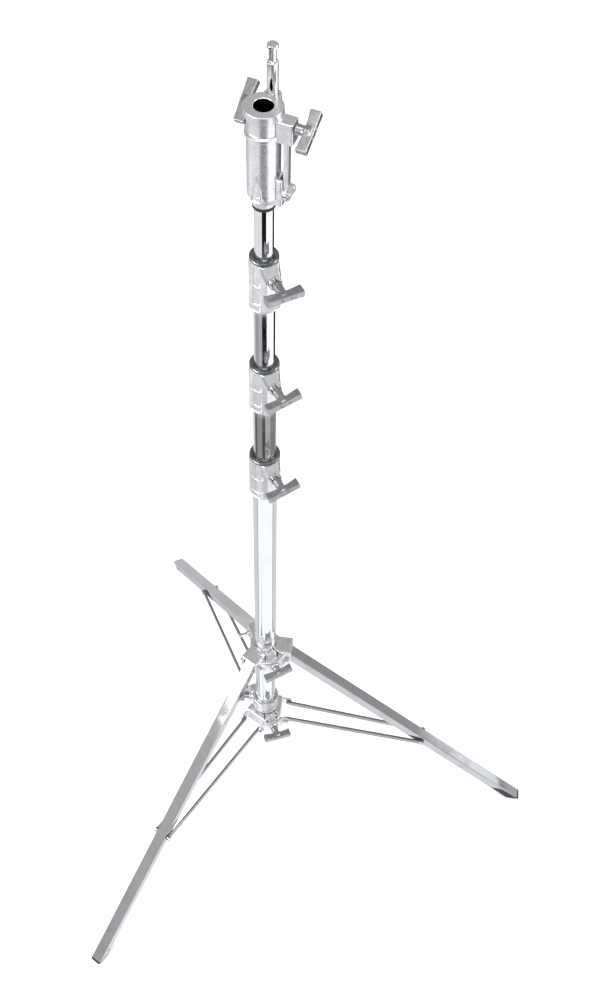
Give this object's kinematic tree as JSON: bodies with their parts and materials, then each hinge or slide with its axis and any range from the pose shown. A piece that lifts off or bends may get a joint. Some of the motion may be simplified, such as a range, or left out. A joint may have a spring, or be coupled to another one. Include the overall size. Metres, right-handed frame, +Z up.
{
  "type": "combo lighting stand",
  "caption": "Steel combo lighting stand with folding square-tube legs, one with its own levelling carriage, telescoping round risers on lock collars, and a socket-and-stud head.",
  "frame": {"origin": "on the floor at the middle of the stand's footprint box", "axes": "+Z up along the column; +Y from the column towards the levelling leg"},
  "size_m": [1.103, 0.9754, 2.088],
  "materials": {
    "chrome_tube": "bright chrome plate on drawn steel tube",
    "chrome_bar": "chrome plate on flat bar and square tube, a little softer than on the round tubes",
    "chrome_stud": "bright chrome plate on turned steel",
    "cast_aluminium": "tumbled die casting, bright with a fine pebbled skin",
    "satin_handle": "bead-blasted casting, satin grey",
    "dark_ring": "turned ring, dark satin",
    "zinc_steel": "bright zinc plate",
    "black_rubber": "moulded rubber, matt",
    "black_nylon": "moulded nylon, satin"
  },
  "bodies": {
    "hub": {"upper_hub": "cast_aluminium", "leg_bolt_a": "zinc_steel", "leg_bolt_b": "zinc_steel"},
    "hub_handle": {"hub_t_handle": "satin_handle"},
    "lower_bracket": {"lower_bracket": "cast_aluminium", "brace_bolt_a_left": "zinc_steel", "brace_bolt_a_right": "zinc_steel", "brace_bolt_b_left": "zinc_steel", "brace_bolt_b_right": "zinc_steel"},
    "bracket_handle": {"bracket_t_handle": "satin_handle"},
    "carriage": {"leveling_carriage": "cast_aluminium"},
    "leveling_handle": {"leveling_t_handle": "satin_handle"},
    "brace_c_bolts": {"brace_bolt_c_left": "zinc_steel", "brace_bolt_c_right": "zinc_steel"},
    "leg_a": {"leg_a": "chrome_bar", "foot_a": "black_rubber"},
    "leg_b": {"leg_b": "chrome_bar", "foot_b": "black_rubber"},
    "leg_c": {"leg_c": "chrome_bar", "foot_c": "black_rubber"},
    "leg_c_bolt": {"leg_bolt_c": "zinc_steel"},
    "braces_a": {"brace_a_left": "chrome_bar", "brace_a_right": "chrome_bar", "brace_rivet_a_left": "zinc_steel", "brace_rivet_a_right": "zinc_steel"},
    "braces_b": {"brace_b_left": "chrome_bar", "brace_b_right": "chrome_bar", "brace_rivet_b_left": "zinc_steel", "brace_rivet_b_right": "zinc_steel"},
    "braces_c": {"brace_c_left": "chrome_bar", "brace_c_right": "chrome_bar", "brace_rivet_c_left": "zinc_steel", "brace_rivet_c_right": "zinc_steel"},
    "base_plug": {"base_plug": "black_nylon"},
    "base_tube": {"base_tube": "chrome_tube", "bottom_collar": "cast_aluminium", "bottom_collar_ring": "dark_ring", "bottom_lock_nut": "zinc_steel"},
    "bottom_handle": {"bottom_t_handle": "satin_handle"},
    "middle_handle": {"middle_t_handle": "satin_handle"},
    "top_handle": {"top_t_handle": "satin_handle"},
    "riser_1_guide": {"riser_1_guide": "black_nylon"},
    "riser_1": {"riser_1": "chrome_tube", "middle_collar": "cast_aluminium", "middle_collar_ring": "dark_ring", "middle_lock_nut": "zinc_steel"},
    "riser_2_guide": {"riser_2_guide": "black_nylon"},
    "riser_2": {"riser_2": "chrome_tube", "top_collar": "cast_aluminium", "top_collar_ring": "dark_ring", "top_lock_nut": "zinc_steel"},
    "riser_3_guide": {"riser_3_guide": "black_nylon"},
    "riser_3": {"riser_3": "chrome_tube", "head_casting": "cast_aluminium", "head_tail_ring": "black_nylon", "clamp_arm_pin": "zinc_steel"},
    "stud": {"stud": "chrome_stud"},
    "stud_handle": {"stud_t_handle": "satin_handle"},
    "socket_handle": {"socket_t_handle": "satin_handle"},
    "clamp_arm": {"clamp_arm": "cast_aluminium"}
  },
  "joints": [
    {"name": "leg_fold", "type": "slide", "parent": "hub", "child": "lower_bracket", "axis": [0, 0, 1], "range_m": [0, 0.1452]},
    {"name": "leg_a_hinge", "type": "hinge", "parent": "hub", "child": "leg_a", "pos_m": [-0.04244, -0.18662, 0.565], "axis": [0.5, -0.866, 0], "range_deg": [0, 41.03]},
    {"name": "braces_a_hinge", "type": "hinge", "parent": "lower_bracket", "child": "braces_a", "pos_m": [-0.04417, -0.18762, 0.288], "axis": [0.5, -0.866, 0], "range_deg": [0, 77.11]},
    {"name": "leg_b_hinge", "type": "hinge", "parent": "hub", "child": "leg_b", "pos_m": [0.04244, -0.18662, 0.565], "axis": [0.5, 0.866, 0], "range_deg": [0, 41.03]},
    {"name": "braces_b_hinge", "type": "hinge", "parent": "lower_bracket", "child": "braces_b", "pos_m": [0.04417, -0.18762, 0.288], "axis": [0.5, 0.866, 0], "range_deg": [0, 77.11]},
    {"name": "leveling_slide", "type": "slide", "parent": "lower_bracket", "child": "carriage", "axis": [0, 0, 1], "range_m": [0, 0.03]},
    {"name": "leg_c_bolt_hinge", "type": "hinge", "parent": "hub", "child": "leg_c_bolt", "pos_m": [0, -0.11311, 0.565], "axis": [-1, 0, 0], "range_deg": [0, 40.15]},
    {"name": "leg_c_hinge", "type": "hinge", "parent": "leg_c_bolt", "child": "leg_c", "pos_m": [0, -0.11311, 0.565], "axis": [-1, 0, 0], "range_deg": [0, 1.27]},
    {"name": "brace_c_bolts_hinge", "type": "hinge", "parent": "carriage", "child": "brace_c_bolts", "pos_m": [0, -0.11112, 0.293], "axis": [-1, 0, 0], "range_deg": [0, 74.82]},
    {"name": "braces_c_hinge", "type": "hinge", "parent": "brace_c_bolts", "child": "braces_c", "pos_m": [0, -0.11112, 0.293], "axis": [-1, 0, 0], "range_deg": [0, 6.65]},
    {"name": "column_slide", "type": "slide", "parent": "hub", "child": "base_plug", "axis": [0, 0, 1], "range_m": [-0.2, 0]},
    {"name": "column_turn", "type": "hinge", "parent": "base_plug", "child": "base_tube", "pos_m": [0, -0.16212, 0.26], "axis": [0, 0, 1], "continuous": true},
    {"name": "riser_1_slide", "type": "slide", "parent": "base_tube", "child": "riser_1_guide", "axis": [0, 0, 1], "range_m": [-0.13, 0.67]},
    {"name": "riser_1_turn", "type": "hinge", "parent": "riser_1_guide", "child": "riser_1", "pos_m": [0, -0.16212, 0.7], "axis": [0, 0, 1], "continuous": true},
    {"name": "riser_2_slide", "type": "slide", "parent": "riser_1", "child": "riser_2_guide", "axis": [0, 0, 1], "range_m": [-0.13, 0.76]},
    {"name": "riser_2_turn", "type": "hinge", "parent": "riser_2_guide", "child": "riser_2", "pos_m": [0, -0.16212, 0.7], "axis": [0, 0, 1], "continuous": true},
    {"name": "riser_3_slide", "type": "slide", "parent": "riser_2", "child": "riser_3_guide", "axis": [0, 0, 1], "range_m": [-0.095, 0.85]},
    {"name": "riser_3_turn", "type": "hinge", "parent": "riser_3_guide", "child": "riser_3", "pos_m": [0, -0.16212, 0.7], "axis": [0, 0, 1], "continuous": true},
    {"name": "bottom_handle_turn", "type": "hinge", "parent": "base_tube", "child": "bottom_handle", "pos_m": [0.0061, -0.23185, 1.228], "axis": [0.0872, -0.9962, 0], "range_deg": [0, 720]},
    {"name": "middle_handle_turn", "type": "hinge", "parent": "riser_1", "child": "middle_handle", "pos_m": [0.0061, -0.23185, 1.469], "axis": [0.0872, -0.9962, 0], "range_deg": [0, 720]},
    {"name": "top_handle_turn", "type": "hinge", "parent": "riser_2", "child": "top_handle", "pos_m": [0.0061, -0.23185, 1.71], "axis": [0.0872, -0.9962, 0], "range_deg": [0, 720]},
    {"name": "hub_handle_turn", "type": "hinge", "parent": "hub", "child": "hub_handle", "pos_m": [0.00237, -0.23007, 0.567], "axis": [0.0349, -0.9994, 0], "range_deg": [0, 720]},
    {"name": "bracket_handle_turn", "type": "hinge", "parent": "lower_bracket", "child": "bracket_handle", "pos_m": [-0.00131, -0.2371, 0.287], "axis": [-0.0175, -0.9998, 0], "range_deg": [0, 720]},
    {"name": "leveling_handle_turn", "type": "hinge", "parent": "carriage", "child": "leveling_handle", "pos_m": [-0.05023, -0.13312, 0.34], "axis": [-0.866, 0.5, 0], "range_deg": [0, 720]},
    {"name": "stud_handle_turn", "type": "hinge", "parent": "riser_3", "child": "stud_handle", "pos_m": [-0.0053, -0.11297, 1.984], "axis": [-0.7071, 0.7071, 0], "range_deg": [0, 720]},
    {"name": "socket_handle_turn", "type": "hinge", "parent": "riser_3", "child": "socket_handle", "pos_m": [0.04667, -0.20878, 1.988], "axis": [0.7071, -0.7071, 0], "range_deg": [-720, 0]},
    {"name": "clamp_arm_hinge", "type": "hinge", "parent": "riser_3", "child": "clamp_arm", "pos_m": [0.02687, -0.18898, 1.872], "axis": [0.7071, 0.7071, 0], "range_deg": [-2, 0]},
    {"name": "stud_slide", "type": "slide", "parent": "riser_3", "child": "stud", "axis": [0, 0, 1], "range_m": [-0.06, 0]}
  ],
  "couplings": [
    {"joint": "leg_a_hinge", "follows": "leg_fold", "rad_per_m": 4.9312},
    {"joint": "braces_a_hinge", "follows": "leg_fold", "rad_per_m": 9.2683},
    {"joint": "leg_b_hinge", "follows": "leg_fold", "rad_per_m": 4.9312},
    {"joint": "braces_b_hinge", "follows": "leg_fold", "rad_per_m": 9.2683},
    {"joint": "leg_c_bolt_hinge", "follows": "leg_fold", "rad_per_m": 4.8254},
    {"joint": "leg_c_hinge", "follows": "leveling_slide", "rad_per_m": 0.73846},
    {"joint": "brace_c_bolts_hinge", "follows": "leg_fold", "rad_per_m": 8.9931},
    {"joint": "braces_c_hinge", "follows": "leveling_slide", "rad_per_m": 3.8676},
    {"joint": "clamp_arm_hinge", "follows": "socket_handle_turn", "ratio": 0.002744}
  ]
}
